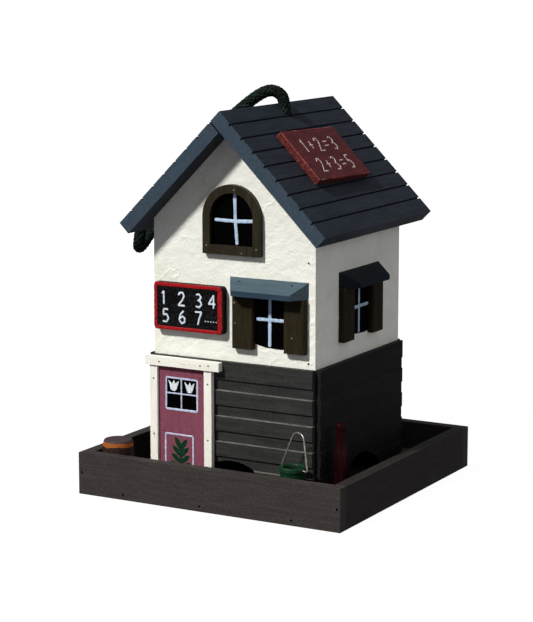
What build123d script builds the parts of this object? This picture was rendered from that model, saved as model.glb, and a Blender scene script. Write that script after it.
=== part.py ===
from build123d import *
from math import cos, radians, sin, sqrt, tan
import os

# A hanging bird feeder in the shape of a two-storey house that stands in a square feeding tray.
# Origin: centre of the tray's underside. +Z up, the door faces -Y, +X is the viewer's right.

# ---- driving dimensions, millimetres ----
# tray
tray_side = 200.0
tray_height = 29.0
tray_board = 8.0
floor_thickness = 9.5
# house box
house_width = 123.0
house_depth = 123.5
wall_thickness = 8.0
eave_height = 188.0
# feed arches at the floor, one in each wall
arch_radius = 32.0
arch_crown = 27.5
# roof
roof_pitch = 45.0
roof_thickness = 9.5
slope_length = 110.0
roof_length = 159.4
groove_pitch = 12.2
groove_width = 1.3
groove_depth = 1.6
groove_start = 11.7
ridge_brads_y = (-60.0, -22.0, 22.0, 60.0)
# drop siding round the lower storey
siding_top = 95.0
siding_thickness = 4.2
siding_relief = 1.2
siding_pitch = 17.6
siding_board = 10.0
siding_top_board = 12.2
# door on the front siding
door_left = -55.6
door_width = 36.8
door_height = 79.0
door_thickness = 1.6
jamb_width = 5.8
jamb_thickness = 3.6
lintel_left = -64.3
lintel_width = 57.8
lintel_height = 6.0
lintel_thickness = 4.9
# attic window frame
attic_centre = 0.5
attic_radius = 21.9
attic_spring = 191.9
attic_bottom = 167.0
attic_band = 5.6
attic_sill = 6.2
frame_thickness = 4.2
# framed windows with shutters and an awning
awning_width = 59.6
awning_hip = 8.1
awning_height = 11.0
awning_lip = 3.5
awning_depth = 13.0
shutter_width = 16.0
shutter_height = 36.5
shutter_thickness = 4.7
shutter_round = 1.5
front_window_x = 28.4
front_window_top = 141.5
front_shutter_pitch = 39.0
front_awning_shift = -1.3
side_window_top = 144.5
side_shutter_pitch = 43.0
# signs
board_left = -59.2
board_bottom = 113.0
board_width = 54.2
board_height = 32.3
board_thickness = 5.2
board_corner = 2.5
plaque_slope = 49.5
plaque_y = -3.5
plaque_long = 71.0
plaque_tall = 43.0
plaque_thickness = 5.0
plaque_turn = -2.0
# rope, its holes and the dowel that carries it
rope_diameter = 8.6
rope_hole_clearance = 0.4
rope_hole_x = 4.8
rope_hole_y = 0.6
left_hole_slope = 30.4
rope_end_drop = 1.9
rope_exit_rise = 8.5
dowel_diameter = 8.0
dowel_gap = 0.3
dowel_seat = 4.0
dowel_fit = 0.05
# toys that stand in the tray
bucket_x = 54.9
bucket_y = -79.8
bucket_height = 24.5
bucket_rim_radius = 9.2
bucket_base_radius = 7.4
bucket_wall = 1.6
bucket_floor = 2.0
bail_turn = -17.4
bail_wire = 1.1
bail_fit = 0.1
bail_pivot_drop = 1.7
bail_reach = 11.0
bail_height = 25.5
bail_top = 12.5
bail_bend = 5.5
bail_hook = 1.3
bail_tail = 1.0
barrel_x = -80.6
barrel_y = -80.4
barrel_radius = 11.0
barrel_top_radius = 9.25
barrel_height = 27.0
barrel_foot_inset = 0.8
barrel_belly = 12.2
barrel_band_radius = 10.35
barrel_rim_drop = 2.2
bottle_x = 76.0
bottle_y = -50.0
bottle_radius = 5.1
bottle_neck_radius = 3.7
bottle_height = 49.0
bottle_shoulder = 27.0
bottle_neck_start = 36.0
# brads
brad_radius = 0.6
brad_length = 18.0
short_brad_length = 7.0
brad_fit = 0.02
brad_tip_gap = 0.2
wall_brad_offset = 0.8
floor_brad_recess = 0.5
ridge_brad_sink = 1.0
door_brad_margin = 1.0

# ---- derived places ----
half_tray = tray_side / 2
half_width = house_width / 2
half_depth = house_depth / 2
slope = tan(radians(roof_pitch))
gable_apex = eave_height + half_width * slope
roof_apex = gable_apex + roof_thickness / cos(radians(roof_pitch))
wall_middle_x = half_width - wall_thickness / 2
wall_middle_y = half_depth - wall_thickness / 2
arch_centre = arch_crown - arch_radius
siding_base = siding_thickness - siding_relief
rope_radius = rope_diameter / 2
rope_hole_radius = rope_radius + rope_hole_clearance

# Planes on the outside of each wall: x along the wall, y up, z outwards.
front = Plane(origin=(0, -half_depth, 0), x_dir=(1, 0, 0), z_dir=(0, -1, 0))
rear = Plane(origin=(0, half_depth, 0), x_dir=(-1, 0, 0), z_dir=(0, 1, 0))
right = Plane(origin=(half_width, 0, 0), x_dir=(0, 1, 0), z_dir=(1, 0, 0))
left = Plane(origin=(-half_width, 0, 0), x_dir=(0, -1, 0), z_dir=(-1, 0, 0))
# Planes on the roof's outer faces: x down the slope from the ridge, z outwards.
down = (cos(radians(roof_pitch)), -sin(radians(roof_pitch)))
right_slope = Plane(origin=(0, 0, roof_apex), x_dir=(down[0], 0, down[1]), z_dir=(-down[1], 0, down[0]))
left_slope = Plane(origin=(0, 0, roof_apex), x_dir=(-down[0], 0, down[1]), z_dir=(down[1], 0, down[0]))

corner_low = (Align.MIN, Align.MIN)
middle_low = (Align.CENTER, Align.MIN)
start_low = (Align.MIN, Align.CENTER)

os.makedirs("parts", exist_ok=True)


def save(part, name):
    """Label a finished piece and write it to its own STEP file."""
    part.label = name
    export_step(part, f"parts/{name}.step")


def brads(planes, length=brad_length, hole=False):
    """Round brads driven inwards from the origin of each plane, or the holes that they sit in."""
    radius = brad_radius + (brad_fit if hole else 0)
    depth = length + (brad_tip_gap if hole else 0)
    mode = Mode.SUBTRACT if hole else Mode.ADD
    for plane in planes:
        with BuildSketch(plane) as shank:
            Circle(radius)
        extrude(shank.sketch, amount=-depth, mode=mode)


def on_wall(wall, out, spots):
    """Planes facing outwards at (along, up) spots on a wall, out millimetres in front of it."""
    return [Plane(origin=wall.offset(out).from_local_coords((x, z, 0)), z_dir=wall.z_dir) for x, z in spots]


# ================================ tray ================================
tray_front = Plane(origin=(0, -half_tray, 0), x_dir=(1, 0, 0), z_dir=(0, -1, 0))
tray_rear = Plane(origin=(0, half_tray, 0), x_dir=(-1, 0, 0), z_dir=(0, 1, 0))
tray_right = Plane(origin=(half_tray, 0, 0), x_dir=(0, 1, 0), z_dir=(1, 0, 0))
tray_left = Plane(origin=(-half_tray, 0, 0), x_dir=(0, -1, 0), z_dir=(-1, 0, 0))
edge_brad_spots = [(-64.6, 3.6), (-4.8, 3.6), (64.6, 3.6)]
corner_brad_inset = 2.4
corner_brad_height = 15.3
corner_brad_spots = [
    (-half_tray + corner_brad_inset, corner_brad_height),
    (half_tray - corner_brad_inset, corner_brad_height),
]
front_tray_brads = on_wall(tray_front, 0, edge_brad_spots + corner_brad_spots)
rear_tray_brads = on_wall(tray_rear, 0, edge_brad_spots + corner_brad_spots)
side_tray_brads = on_wall(tray_right, 0, edge_brad_spots) + on_wall(tray_left, 0, edge_brad_spots)
all_tray_brads = front_tray_brads + rear_tray_brads + side_tray_brads
floor_side = tray_side - 2 * tray_board

# Floor brads go up through the tray floor into the feet of the walls.
floor_brad_x = 45.0
floor_brad_y = 42.0
floor_brads_at = [
    Plane(origin=(x, y, floor_brad_recess), z_dir=(0, 0, -1))
    for sx in (-1, 1)
    for sy in (-1, 1)
    for x, y in ((sx * floor_brad_x, sy * wall_middle_y), (sx * wall_middle_x, sy * floor_brad_y))
]

with BuildPart() as tray_floor:
    with BuildSketch():
        Rectangle(floor_side, floor_side)
    extrude(amount=floor_thickness)
    brads(all_tray_brads, hole=True)
    brads(floor_brads_at, hole=True)
    for plane in floor_brads_at:
        with BuildSketch(Plane.XY):
            with Locations((plane.origin.X, plane.origin.Y)):
                Circle(brad_radius + brad_fit)
        extrude(amount=floor_brad_recess, mode=Mode.SUBTRACT)
save(tray_floor.part, "tray_floor")

for name, plane, length, planes in (
    ("tray_front_board", tray_front, tray_side, front_tray_brads),
    ("tray_rear_board", tray_rear, tray_side, rear_tray_brads),
    ("tray_right_board", tray_right, floor_side, all_tray_brads),
    ("tray_left_board", tray_left, floor_side, all_tray_brads),
):
    with BuildPart() as tray_side_board:
        with BuildSketch(plane):
            Rectangle(length, tray_height, align=middle_low)
        extrude(amount=-tray_board)
        brads(planes, hole=True)
    save(tray_side_board.part, name)

with BuildPart() as tray_brads:
    brads(all_tray_brads)
save(tray_brads.part, "tray_brads")

with BuildPart() as floor_brads:
    brads(floor_brads_at)
save(floor_brads.part, "floor_brads")

# ================================ walls ================================
# The gables overlap the side walls' ends and are nailed into them.
wall_brad_spots = [
    (side * (wall_middle_x - wall_brad_offset), height) for side in (-1, 1) for height in (35.0, 99.0, 165.5)
]
front_wall_brads = on_wall(front, 0, wall_brad_spots)
rear_wall_brads = on_wall(rear, 0, wall_brad_spots)
all_wall_brads = front_wall_brads + rear_wall_brads

# The dowel stands where the rope's inner turn leads straight into both roof holes: the right one is
# vertical, and the left one is square to the left slope.
turn_radius = dowel_diameter / 2 + dowel_gap + rope_radius
left_hole_x, left_hole_z = -left_hole_slope * down[0], roof_apex + left_hole_slope * down[1]
dowel_x = rope_hole_x - turn_radius
dowel_height = left_hole_x + left_hole_z + turn_radius * sqrt(2) - dowel_x
dowel_reach = half_depth - wall_thickness + dowel_seat

# brads of what is fixed to the walls from outside
siding_brad_spots = [(6.0, 78.8)]
side_siding_brads = [
    plane for wall in (right, left, rear) for plane in on_wall(wall, siding_base, siding_brad_spots)
]
attic_brad_spots = [(2.8, 210.4), (-18.4, 172.5), (19.5, 172.1), (8.5, 168.9)]
attic_brads_at = on_wall(front, frame_thickness, attic_brad_spots)
shutter_brad_spots = [(3.0, 135.8), (3.7, 122.1), (46.5, 115.7)]
shutter_brads_at = on_wall(front, shutter_thickness, shutter_brad_spots)
awning_brad_drop = 2.3
awning_brad_z = front_window_top + awning_height - awning_brad_drop
awning_brad_out = awning_brad_drop * awning_depth / (awning_height - awning_lip) + brad_radius
awning_brad_spots = [(6.7, awning_brad_z), (46.2, awning_brad_z)]
awning_brads_at = on_wall(front, awning_brad_out, awning_brad_spots)
front_trim_brads = attic_brads_at + shutter_brads_at + awning_brads_at

for name, wall, planes in (
    ("front_wall", front, front_wall_brads + floor_brads_at),
    ("rear_wall", rear, rear_wall_brads + floor_brads_at),
):
    with BuildPart() as gable_wall:
        with BuildSketch(wall):
            with BuildLine():
                Polyline(
                    (-half_width, floor_thickness),
                    (half_width, floor_thickness),
                    (half_width, eave_height),
                    (0, gable_apex),
                    (-half_width, eave_height),
                    close=True,
                )
            make_face()
            with Locations((0, arch_centre)):
                Circle(arch_radius, mode=Mode.SUBTRACT)
        extrude(amount=-wall_thickness)
        with BuildSketch(Plane.XZ.offset(-dowel_reach)):
            with Locations((dowel_x, dowel_height)):
                Circle(dowel_diameter / 2 + dowel_fit)
        extrude(amount=2 * dowel_reach, mode=Mode.SUBTRACT)
        brads(planes, hole=True)
        if wall is front:
            brads(front_trim_brads, short_brad_length, hole=True)
        if wall is rear:
            brads(side_siding_brads, short_brad_length, hole=True)
    save(gable_wall.part, name)

inner_depth = house_depth - 2 * wall_thickness
for name, wall in (("right_wall", right), ("left_wall", left)):
    side_sign = 1 if wall is right else -1
    with BuildPart() as side_wall:
        with BuildSketch(wall):
            with Locations((0, floor_thickness)):
                Rectangle(inner_depth, gable_apex - floor_thickness, align=middle_low)
            with Locations((0, arch_centre)):
                Circle(arch_radius, mode=Mode.SUBTRACT)
        extrude(amount=-wall_thickness)
        bevel = Plane(origin=(side_sign * half_width, 0, eave_height), z_dir=(side_sign * slope, 0, 1))
        split(bisect_by=bevel, keep=Keep.BOTTOM)
        brads(all_wall_brads + floor_brads_at, hole=True)
        brads(side_siding_brads, short_brad_length, hole=True)
    save(side_wall.part, name)

with BuildPart() as wall_brads:
    brads(all_wall_brads)
save(wall_brads.part, "wall_brads")

with BuildPart() as hanging_dowel:
    with BuildSketch(Plane.XZ.offset(-dowel_reach + brad_tip_gap)):
        with Locations((dowel_x, dowel_height)):
            Circle(dowel_diameter / 2)
    extrude(amount=2 * (dowel_reach - brad_tip_gap))
save(hanging_dowel.part, "hanging_dowel")

# ================================ drop siding ================================
# One milled panel on each wall: a base sheet with raised boards, cut by the feed arch.
board_rows = [(siding_top - siding_top_board, siding_top_board)]
lowest_board = siding_top - siding_top_board - siding_pitch
while lowest_board > floor_thickness:
    board_rows.append((lowest_board, siding_board))
    lowest_board -= siding_pitch
siding_height = siding_top - floor_thickness

# The door, its jambs and its lintel are nailed on the face of the front siding.
siding_face = front.offset(siding_thickness)
door_right = door_left + door_width
lintel_bottom = floor_thickness + door_height
door_brads_at = on_wall(front, siding_thickness + door_thickness, [(-22.7, 82.1), (-51.6, 43.3)])
jamb_heights = (40.5, 79.0)
jamb_brads_at = on_wall(
    front,
    siding_thickness + jamb_thickness,
    [(x, z) for x in (door_left - jamb_width / 2, door_right + jamb_width / 2) for z in jamb_heights],
)
lintel_brads_at = on_wall(
    front, siding_thickness + lintel_thickness, [(-53.2, 91.2), (-20.9, 91.3), (-14.5, 91.8)]
)
siding_bite = siding_thickness - door_brad_margin
door_fixings = [
    (door_brads_at, door_thickness + siding_bite),
    (jamb_brads_at, jamb_thickness + siding_bite),
    (lintel_brads_at, lintel_thickness + siding_bite),
]

for name, wall, length, planes in (
    ("front_siding", front, house_width, []),
    ("rear_siding", rear, house_width, side_siding_brads),
    ("right_siding", right, house_depth, side_siding_brads),
    ("left_siding", left, house_depth, side_siding_brads),
):
    with BuildPart() as siding:
        with BuildSketch(wall):
            with Locations((0, floor_thickness)):
                Rectangle(length, siding_height, align=middle_low)
        extrude(amount=siding_base)
        with BuildSketch(wall.offset(siding_base)):
            for bottom, height in board_rows:
                with Locations((0, bottom)):
                    Rectangle(length, height, align=middle_low)
        extrude(amount=siding_relief)
        with BuildSketch(wall):
            with Locations((0, arch_centre)):
                Circle(arch_radius)
        extrude(amount=siding_thickness, mode=Mode.SUBTRACT)
        brads(planes, short_brad_length, hole=True)
        if wall is front:
            for door_planes, depth in door_fixings:
                brads(door_planes, depth, hole=True)
    save(siding.part, name)

with BuildPart() as siding_brads:
    brads(side_siding_brads, short_brad_length)
save(siding_brads.part, "siding_brads")

# ================================ door ================================
for name, x, width, height, bottom, thickness, planes in (
    ("door_panel", door_left, door_width, door_height, floor_thickness, door_thickness, door_brads_at),
    (
        "door_jamb_left",
        door_left - jamb_width,
        jamb_width,
        door_height,
        floor_thickness,
        jamb_thickness,
        jamb_brads_at,
    ),
    ("door_jamb_right", door_right, jamb_width, door_height, floor_thickness, jamb_thickness, jamb_brads_at),
    (
        "door_lintel",
        lintel_left,
        lintel_width,
        lintel_height,
        lintel_bottom,
        lintel_thickness,
        lintel_brads_at,
    ),
):
    with BuildPart() as door_piece:
        with BuildSketch(siding_face):
            with Locations((x, bottom)):
                Rectangle(width, height, align=corner_low)
        extrude(amount=thickness)
        brads(planes, thickness + siding_bite, hole=True)
    save(door_piece.part, name)

with BuildPart() as door_brads:
    for planes, depth in door_fixings:
        brads(planes, depth)
save(door_brads.part, "door_brads")

# ================================ attic window ================================
attic_leg = attic_spring - attic_bottom
attic_opening = attic_radius - attic_band

with BuildPart() as attic_frame:
    with BuildSketch(front):
        for reach, mode in ((attic_radius, Mode.ADD), (attic_opening, Mode.SUBTRACT)):
            with Locations((attic_centre, attic_spring)):
                Circle(reach, mode=mode)
            with Locations((attic_centre, attic_bottom)):
                Rectangle(2 * reach, attic_leg, align=middle_low, mode=mode)
    extrude(amount=frame_thickness)
    brads(attic_brads_at, short_brad_length, hole=True)
save(attic_frame.part, "attic_window_frame")

with BuildPart() as attic_bar:
    with BuildSketch(front):
        with Locations((attic_centre, attic_bottom)):
            Rectangle(2 * attic_opening, attic_sill, align=middle_low)
    extrude(amount=frame_thickness)
    brads(attic_brads_at, short_brad_length, hole=True)
save(attic_bar.part, "attic_window_sill")

with BuildPart() as attic_brads:
    brads(attic_brads_at, short_brad_length)
save(attic_brads.part, "attic_window_brads")

# ================================ shuttered windows ================================
for side, wall, centre, top, pitch, shift in (
    ("front", front, front_window_x, front_window_top, front_shutter_pitch, front_awning_shift),
    ("right", right, 0, side_window_top, side_shutter_pitch, 0),
    ("left", left, 0, side_window_top, side_shutter_pitch, 0),
):
    with BuildPart() as awning:
        for out, width, height in (
            (0, awning_width, awning_height),
            (awning_depth, awning_width - 2 * awning_hip, awning_lip),
        ):
            with BuildSketch(wall.offset(out)):
                with Locations((centre + shift, top)):
                    Rectangle(width, height, align=middle_low)
        loft(ruled=True)
        if wall is front:
            brads(awning_brads_at, short_brad_length, hole=True)
    save(awning.part, f"{side}_awning")

    for hand, sign in (("left", -1), ("right", 1)):
        with BuildPart() as shutter:
            with BuildSketch(wall):
                with Locations((centre + sign * pitch / 2, top - shutter_height)):
                    Rectangle(shutter_width, shutter_height, align=middle_low)
            extrude(amount=shutter_thickness)
            outer_face = shutter.faces().sort_by(Axis(wall.origin, wall.z_dir))[-1]
            fillet(outer_face.edges().filter_by(Axis.Z), shutter_round)
            if wall is front:
                brads(shutter_brads_at, short_brad_length, hole=True)
        save(shutter.part, f"{side}_shutter_{hand}")

with BuildPart() as shutter_brads:
    brads(shutter_brads_at, short_brad_length)
save(shutter_brads.part, "shutter_brads")

with BuildPart() as awning_brads:
    brads(awning_brads_at, short_brad_length)
save(awning_brads.part, "awning_brads")

# ================================ blackboard ================================
with BuildPart() as blackboard:
    with BuildSketch(front):
        with Locations((board_left + board_width / 2, board_bottom + board_height / 2)):
            RectangleRounded(board_width, board_height, board_corner)
    extrude(amount=board_thickness)
save(blackboard.part, "blackboard")

# ================================ roof ================================
# The right panel laps over the left panel's top end. Vertical and square holes let the rope through.
ridge_brads_at = [
    Plane(
        origin=right_slope.from_local_coords((roof_thickness / 2, y, -ridge_brad_sink)),
        z_dir=right_slope.z_dir,
    )
    for y in ridge_brads_y
]
groove_count = int((slope_length - groove_start - groove_width) / groove_pitch) + 1

for name, plane, start in (
    ("roof_panel_right", right_slope, 0),
    ("roof_panel_left", left_slope, roof_thickness),
):
    with BuildPart() as roof_panel:
        with BuildSketch(plane):
            with Locations((start, 0)):
                Rectangle(slope_length - start, roof_length, align=start_low)
        extrude(amount=-roof_thickness)
        with BuildSketch(plane):
            for i in range(groove_count):
                with Locations((groove_start + i * groove_pitch, 0)):
                    Rectangle(groove_width, roof_length)
        extrude(amount=-groove_depth, mode=Mode.SUBTRACT)
        if plane is right_slope:
            with BuildSketch(Plane.XY.offset(roof_apex)):
                with Locations((rope_hole_x, rope_hole_y)):
                    Circle(rope_hole_radius)
            extrude(amount=-4 * roof_thickness, mode=Mode.SUBTRACT)
        else:
            with BuildSketch(plane):
                with Locations((left_hole_slope, -rope_hole_y)):
                    Circle(rope_hole_radius)
            extrude(amount=-roof_thickness, mode=Mode.SUBTRACT)
        brads(ridge_brads_at, hole=True)
    save(roof_panel.part, name)

with BuildPart() as ridge_brads:
    brads(ridge_brads_at)
save(ridge_brads.part, "ridge_brads")

with BuildPart() as roof_plaque:
    with BuildSketch(right_slope):
        with Locations((plaque_slope, plaque_y)):
            Rectangle(plaque_tall, plaque_long, rotation=plaque_turn)
    extrude(amount=plaque_thickness)
save(roof_plaque.part, "roof_plaque")

# ================================ rope ================================
# Loop: up through the right hole, over the ridge, down the left slope, its bight past the eave and back
# up to the left hole. Sling: the rope's inner turn round the dowel, joining the loop's two ends.
right_end_z = gable_apex - rope_hole_x * slope - rope_end_drop
left_end = left_slope.from_local_coords((left_hole_slope, -rope_hole_y, -roof_thickness - rope_end_drop))
loop_points = [
    (rope_hole_x, rope_hole_y, right_end_z),
    (rope_hole_x, rope_hole_y, 264.5),
    (1.2, -2.1, 270.7),
    (-4.8, -6.6, 272.3),
    (-13.7, -12.7, 265.9),
    (-29.0, -19.3, 251.5),
    (-47.0, -26.7, 231.9),
    (-66.0, -35.0, 207.5),
    (-84.0, -41.0, 188.0),
    (-85.8, -43.0, 169.2),
    (-92.3, -34.3, 160.0),
    (-94.2, -18.1, 167.8),
    (-90.0, -4.0, 186.0),
    (-68.0, 3.0, 211.0),
    (-50.0, 2.0, 233.5),
    (-36.5, 1.2, 247.5),
    left_slope.from_local_coords((left_hole_slope, -rope_hole_y, rope_exit_rise)),
    left_end,
]


def corner_radii(points, share=0.45):
    """The largest arc that each corner's two runs allow: share of the shorter run over tan(half the turn)."""
    points = [Vector(p) for p in points]
    radii = []
    for before, at, after in zip(points, points[1:], points[2:]):
        turn = (at - before).get_angle(after - at)
        shorter = min((at - before).length, (after - at).length)
        radii.append(share * shorter / tan(radians(turn / 2)))
    return radii


def round_tube(points, radii, radius):
    """A round tube along straight runs joined by tangent arcs. Prints its arcs, length and volume ratio."""
    with BuildPart() as tube:
        with BuildLine() as path:
            FilletPolyline(*points, radius=radii)
        wire = path.wires()[0]
        with BuildSketch(Plane(origin=wire @ 0, z_dir=wire % 0)) as section:
            Circle(radius)
        sweep(section.sketch, path=wire)
    ratio = tube.part.volume / (wire.length * section.sketch.area)
    print("arcs", [round(r, 1) for r in radii])
    print("length", round(wire.length, 1), "volume over section times length", round(ratio, 5))
    return tube.part


save(round_tube(loop_points, corner_radii(loop_points), rope_radius), "rope_loop")

corner_reach = turn_radius / cos(radians(22.5))
sling_corners = [
    (
        dowel_x + corner_reach * sin(radians(angle)),
        rope_hole_y,
        dowel_height - corner_reach * cos(radians(angle)),
    )
    for angle in (-22.5, 22.5, 67.5)
]
sling_points = [left_end, *sling_corners, loop_points[0]]
save(round_tube(sling_points, [turn_radius * 0.98] * len(sling_corners), rope_radius), "rope_sling")

# ================================ toys in the tray ================================
bucket_plane = Plane(origin=(bucket_x, bucket_y, floor_thickness), x_dir=(1, 0, 0), z_dir=(0, -1, 0))
bail_pivot = floor_thickness + bucket_height - bail_pivot_drop
bail_dir = (cos(radians(bail_turn)), sin(radians(bail_turn)), 0)
bail_centre = (bucket_x, bucket_y, bail_pivot)
bail_plane = Plane(origin=bail_centre, x_dir=bail_dir, z_dir=(bail_dir[1], -bail_dir[0], 0))
with BuildPart() as bucket:
    with BuildSketch(bucket_plane):
        with BuildLine():
            Polyline(
                (0, 0),
                (bucket_base_radius, 0),
                (bucket_rim_radius, bucket_height),
                (bucket_rim_radius - bucket_wall, bucket_height),
                (bucket_base_radius - bucket_wall, bucket_floor),
                (0, bucket_floor),
                close=True,
            )
        make_face()
    revolve(axis=Axis((bucket_x, bucket_y, 0), (0, 0, 1)))
    with BuildSketch(Plane(origin=bail_centre, z_dir=bail_dir)):
        Circle(bail_wire / 2 + bail_fit)
    extrude(amount=bail_reach, both=True, mode=Mode.SUBTRACT)
save(bucket.part, "bucket")

bail_hook_end = bucket_rim_radius - bucket_wall - bail_tail
bail_points = [
    bail_plane.from_local_coords((x, y, 0))
    for x, y in (
        (-bail_hook_end, 0),
        (-bail_reach, 0),
        (-bail_top / 2, bail_height),
        (bail_top / 2, bail_height),
        (bail_reach, 0),
        (bail_hook_end, 0),
    )
]
save(round_tube(bail_points, [bail_hook, bail_bend, bail_bend, bail_hook], bail_wire / 2), "bucket_bail")

barrel_foot_radius = barrel_radius - barrel_foot_inset
barrel_band_top = barrel_height - barrel_rim_drop
with BuildPart() as barrel:
    with BuildSketch(Plane(origin=(barrel_x, barrel_y, floor_thickness), x_dir=(1, 0, 0), z_dir=(0, -1, 0))):
        with BuildLine():
            Polyline((barrel_top_radius, barrel_height), (0, barrel_height), (0, 0), (barrel_foot_radius, 0))
            ThreePointArc(
                (barrel_foot_radius, 0),
                (barrel_radius, barrel_belly),
                (barrel_band_radius, barrel_band_top),
            )
            Line((barrel_band_radius, barrel_band_top), (barrel_top_radius, barrel_height))
        make_face()
    revolve(axis=Axis((barrel_x, barrel_y, 0), (0, 0, 1)))
save(barrel.part, "barrel")

with BuildPart() as bottle:
    with BuildSketch(Plane(origin=(bottle_x, bottle_y, floor_thickness), x_dir=(1, 0, 0), z_dir=(0, -1, 0))):
        with BuildLine():
            Polyline(
                (bottle_radius, bottle_shoulder),
                (bottle_radius, 0),
                (0, 0),
                (0, bottle_height),
                (bottle_neck_radius, bottle_height),
                (bottle_neck_radius, bottle_neck_start),
                close=True,
            )
        make_face()
    revolve(axis=Axis((bottle_x, bottle_y, 0), (0, 0, 1)))
save(bottle.part, "bottle")
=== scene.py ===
from math import cos, pi, radians, sin, sqrt

import bmesh
import bpy
import numpy as np
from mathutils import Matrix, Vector


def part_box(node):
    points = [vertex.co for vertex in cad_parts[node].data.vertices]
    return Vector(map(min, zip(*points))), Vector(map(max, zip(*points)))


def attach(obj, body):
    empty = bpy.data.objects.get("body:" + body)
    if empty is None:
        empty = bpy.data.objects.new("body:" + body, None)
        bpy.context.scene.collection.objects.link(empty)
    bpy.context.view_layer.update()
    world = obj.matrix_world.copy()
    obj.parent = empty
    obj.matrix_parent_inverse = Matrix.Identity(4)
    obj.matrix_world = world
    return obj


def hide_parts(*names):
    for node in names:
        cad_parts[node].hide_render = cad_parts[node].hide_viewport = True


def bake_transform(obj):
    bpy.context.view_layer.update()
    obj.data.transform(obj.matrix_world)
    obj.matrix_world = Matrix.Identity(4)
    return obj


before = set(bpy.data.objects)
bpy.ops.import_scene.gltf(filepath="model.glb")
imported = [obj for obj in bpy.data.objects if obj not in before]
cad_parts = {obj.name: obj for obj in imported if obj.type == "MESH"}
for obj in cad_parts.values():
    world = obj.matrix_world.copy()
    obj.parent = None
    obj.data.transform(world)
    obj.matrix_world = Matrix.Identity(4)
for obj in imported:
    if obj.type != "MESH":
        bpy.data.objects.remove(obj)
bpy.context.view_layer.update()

# ---- Camera ----
# It looks down a little at the front and right sides of the house. It stands far enough off for upright
# edges to stay almost parallel.
def placed(name, data):
    """A new object of this data, linked to the scene."""
    thing = bpy.data.objects.new(name, data)
    bpy.context.scene.collection.objects.link(thing)
    return thing


aim = Vector((-0.00957, 0.0, 0.11881))
camera_azimuth = radians(29.25)
camera_height = radians(9.99)
camera_distance = 1.43504
level = cos(camera_height)
back = Vector((sin(camera_azimuth) * level, -cos(camera_azimuth) * level, sin(camera_height)))
camera = placed("camera", bpy.data.cameras.new("camera"))
camera.data.sensor_width = 36.0
camera.data.lens = 119.87
camera.data.clip_start = 0.05
camera.location = aim + back * camera_distance
camera.rotation_mode = "QUATERNION"
camera.rotation_quaternion = (-back).to_track_quat("-Z", "Y")
bpy.context.scene.camera = camera


# ---- Rope ----
# A braided cord of sixteen strands, dark green and black. It comes up through the right slope, goes over the
# ridge, hangs in a bight past the left eave and goes back in through the left slope to a sling round a dowel.
# The loop rides with the roof.
rope_diameter = 0.0086
rope_points = [
    (0.0048, 0.0006, 0.2428),
    (0.0048, 0.0006, 0.2645),
    (0.0012, -0.0021, 0.2707),
    (-0.0048, -0.0066, 0.2723),
    (-0.0137, -0.0127, 0.2659),
    (-0.0290, -0.0193, 0.2515),
    (-0.0470, -0.0267, 0.2319),
    (-0.0660, -0.0350, 0.2075),
    (-0.0840, -0.0410, 0.1880),
    (-0.0858, -0.0430, 0.1692),
    (-0.0923, -0.0343, 0.1600),
    (-0.0942, -0.0181, 0.1678),
    (-0.0900, -0.0040, 0.1860),
    (-0.0680, 0.0030, 0.2110),
    (-0.0500, 0.0020, 0.2335),
    (-0.0365, 0.0012, 0.2475),
    (-0.0275, 0.0006, 0.24745),
    (-0.01343, 0.0006, 0.23338),
]
sling_points = [
    (-0.01343, 0.0006, 0.23338),
    (-0.00736, 0.0006, 0.22730),
    (-0.00024, 0.0006, 0.22730),
    (0.0048, 0.0006, 0.23234),
    (0.0048, 0.0006, 0.2428),
]


def finish_of(name, roughness, gloss=0.15):
    """A new material: (material, add, wire).

    add makes a node and wires or sets its inputs, and wire leads a socket to the shader's input of a name.
    """
    material = bpy.data.materials.new(name)
    material.use_nodes = True
    tree = material.node_tree
    shader = tree.nodes["Principled BSDF"]
    shader.inputs["Roughness"].default_value = roughness
    shader.inputs["Specular IOR Level"].default_value = gloss

    def add(kind, inputs=(), **settings):
        node = tree.nodes.new("ShaderNode" + kind)
        for key, value in settings.items():
            setattr(node, key, value)
        for socket, source in inputs:
            if isinstance(source, bpy.types.NodeSocket):
                tree.links.new(source, node.inputs[socket])
            else:
                node.inputs[socket].default_value = source
        return node

    def wire(source, socket):
        tree.links.new(source, shader.inputs[socket])

    return material, add, wire


def ramp_of(add, factor, stops):
    """A colour ramp read at factor, with (position, colour) stops."""
    ramp = add("ValToRGB", [("Fac", factor)])
    elements = ramp.color_ramp.elements
    while len(elements) < len(stops):
        elements.new(0.5)
    for element, (position, colour) in zip(elements, stops):
        element.position = position
        element.color = (*colour, 1)
    return ramp.outputs["Color"]


def new_piece(name, points, faces, body, materials, smooth=True):
    """A mesh in the frame's metres that rides on a body. points is an (n, 3) array, faces index it."""
    mesh = bpy.data.meshes.new(name)
    mesh.from_pydata(points.reshape(-1, 3).tolist(), [], faces.tolist())
    mesh.polygons.foreach_set("use_smooth", np.full(len(mesh.polygons), smooth))
    for material in materials:
        mesh.materials.append(material)
    piece = placed(name, mesh)
    if body:
        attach(piece, body)
    return piece


def corners_of(mesh):
    """A mesh's corner points as an (n, 3) array."""
    points = np.zeros(3 * len(mesh.vertices))
    mesh.vertices.foreach_get("co", points)
    return points.reshape(-1, 3)


def grid_faces(rows, columns, closed_rows=False, closed_columns=False):
    """Quads between neighbouring points of a rows by columns grid, joined end to end where it is closed."""
    i = np.arange(rows if closed_rows else rows - 1)[:, None]
    j = np.arange(columns if closed_columns else columns - 1)[None, :]
    i_next = (i + 1) % rows
    j_next = (j + 1) % columns
    quads = [i * columns + j, i * columns + j_next, i_next * columns + j_next, i_next * columns + j]
    return np.stack([np.broadcast_to(q, (i.size, j.size)) for q in quads], -1).reshape(-1, 4)


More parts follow.
